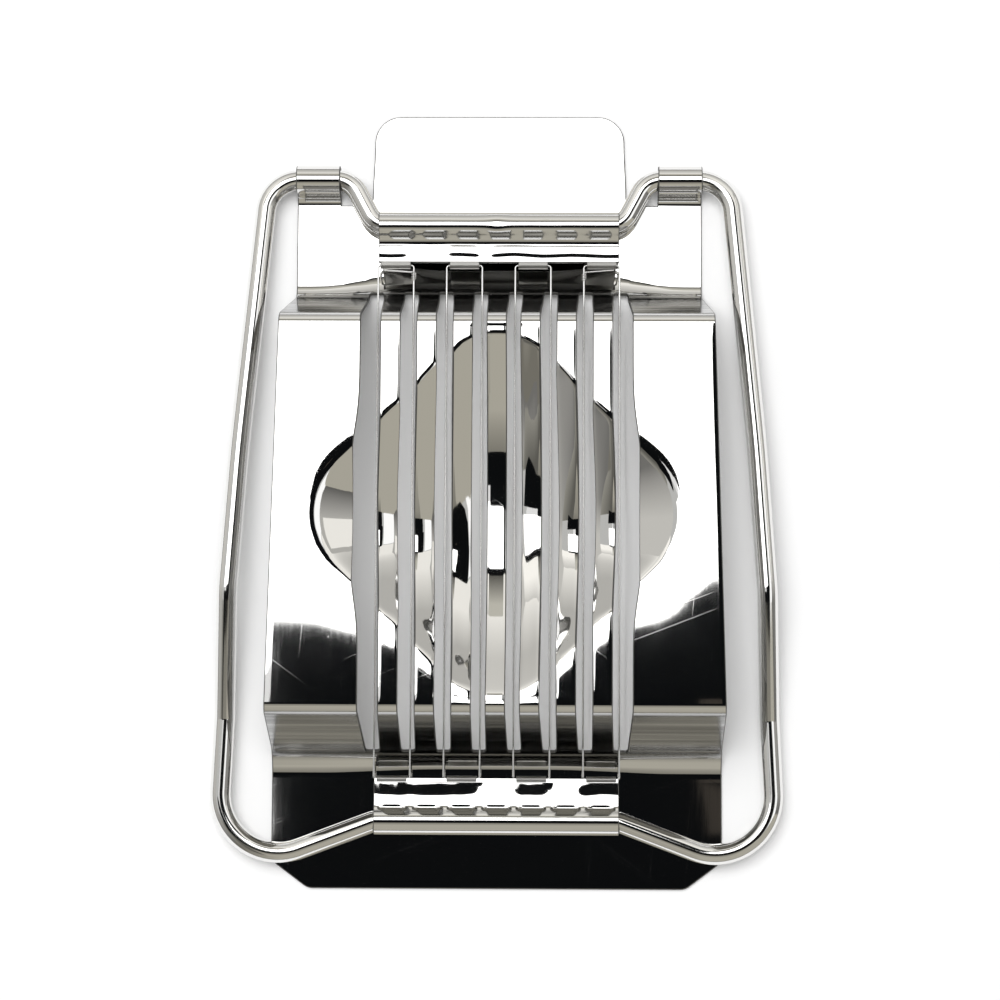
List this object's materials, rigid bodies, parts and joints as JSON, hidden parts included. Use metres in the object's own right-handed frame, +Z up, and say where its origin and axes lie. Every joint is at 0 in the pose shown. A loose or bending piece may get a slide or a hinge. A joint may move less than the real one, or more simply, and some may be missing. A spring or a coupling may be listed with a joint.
{
  "type": "egg slicer",
  "caption": "All-steel egg slicer: bent, slotted base sheet with an egg recess, and a hinged round-rod frame whose stretched wires cut down through the slots.",
  "frame": {"origin": "on the worktop, under the middle of the bounding box", "axes": "+Z up, +Y towards the hinge and the rear tongue, +X to the right seen from the front apron"},
  "size_m": [0.098, 0.1346, 0.022],
  "materials": {
    "base_sheet": "mirror-polished stainless steel sheet with fine handling scratches",
    "frame_rod": "polished stainless steel rod, drawn along its length",
    "clamp_sheet": "polished stainless steel sheet, rolled and pinched, slightly dented",
    "cutting_wire": "bright drawn stainless steel wire"
  },
  "bodies": {
    "base": {"base_plate": "base_sheet"},
    "cutter": {"frame_rod": "frame_rod", "rear_wire_clamp": "clamp_sheet", "front_wire_clamp": "clamp_sheet", "cutting_wire_1": "cutting_wire", "cutting_wire_2": "cutting_wire", "cutting_wire_3": "cutting_wire", "cutting_wire_4": "cutting_wire"}
  },
  "joints": [
    {"name": "frame_hinge", "type": "hinge", "parent": "base", "child": "cutter", "pos_m": [0, 0.05556, 0.00325], "axis": [-1, 0, 0], "range_deg": [0, 175]}
  ]
}
